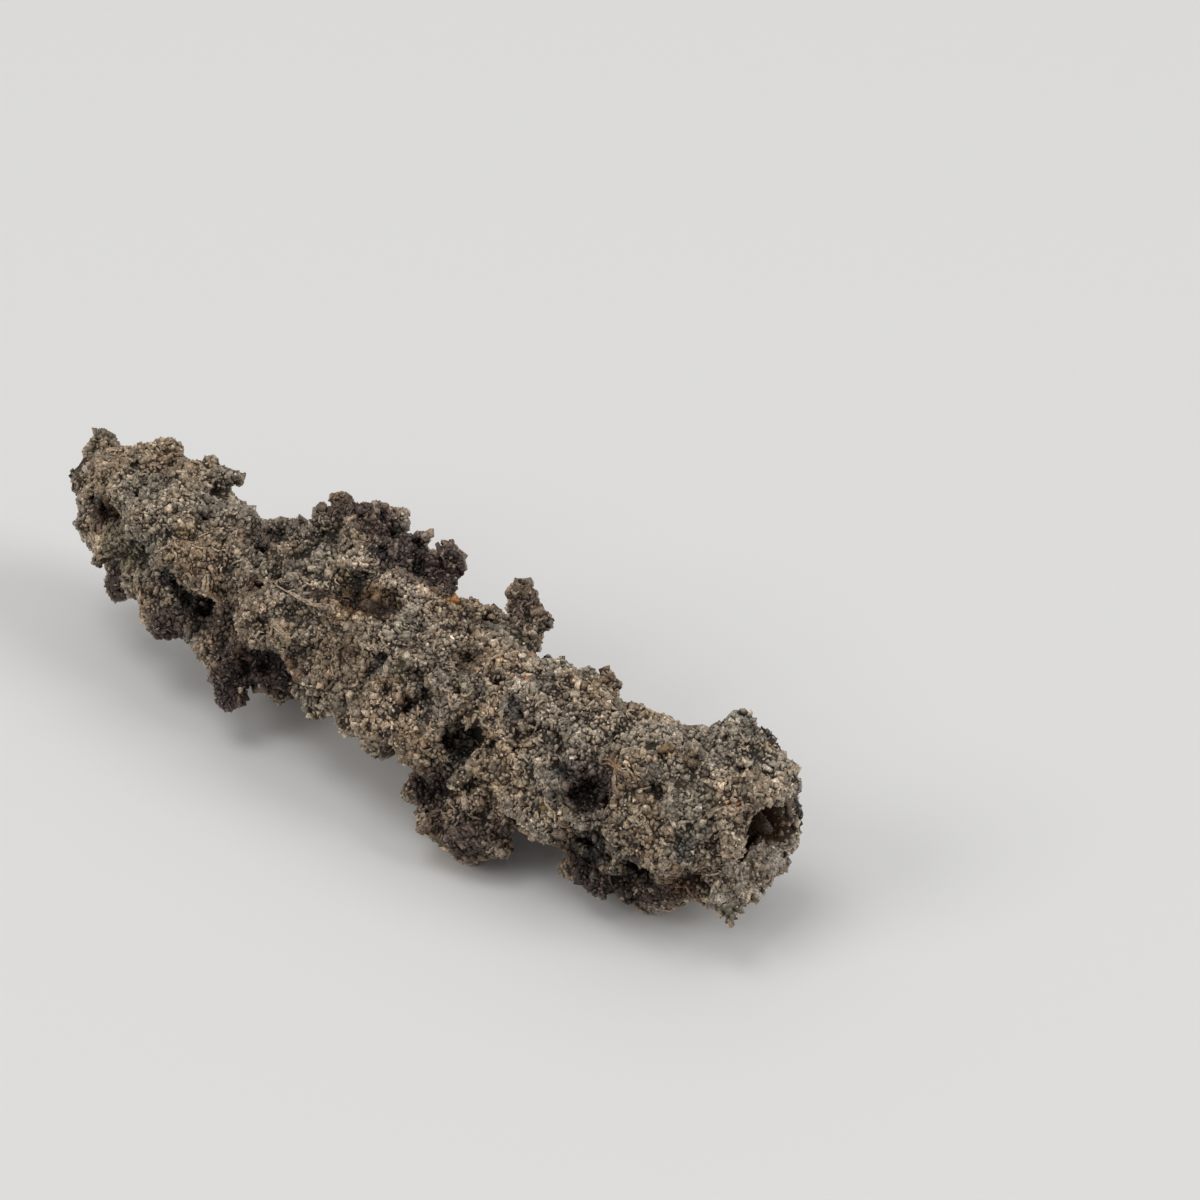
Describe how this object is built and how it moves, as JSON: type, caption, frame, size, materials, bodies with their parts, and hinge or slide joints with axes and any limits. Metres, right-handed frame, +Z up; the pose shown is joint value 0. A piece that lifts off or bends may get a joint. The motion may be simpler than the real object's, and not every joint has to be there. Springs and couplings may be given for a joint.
{
  "type": "fulgurite",
  "caption": "Gritty grey-tan tube of lightning-fused sand lying on its side, with knobs, ridges and a broken end that shows the glassy bore.",
  "frame": {"origin": "Middle of the bounding box in plan, on the plane that the stone rests on.", "axes": "+X runs along the tube towards the open broken end, +Y goes across it away from the front knobs, +Z is up."},
  "size_m": [0.0592, 0.015, 0.0145],
  "materials": {
    "fused_sand": null
  },
  "bodies": {
    "root": {"fulgurite": "fused_sand"}
  },
  "joints": []
}
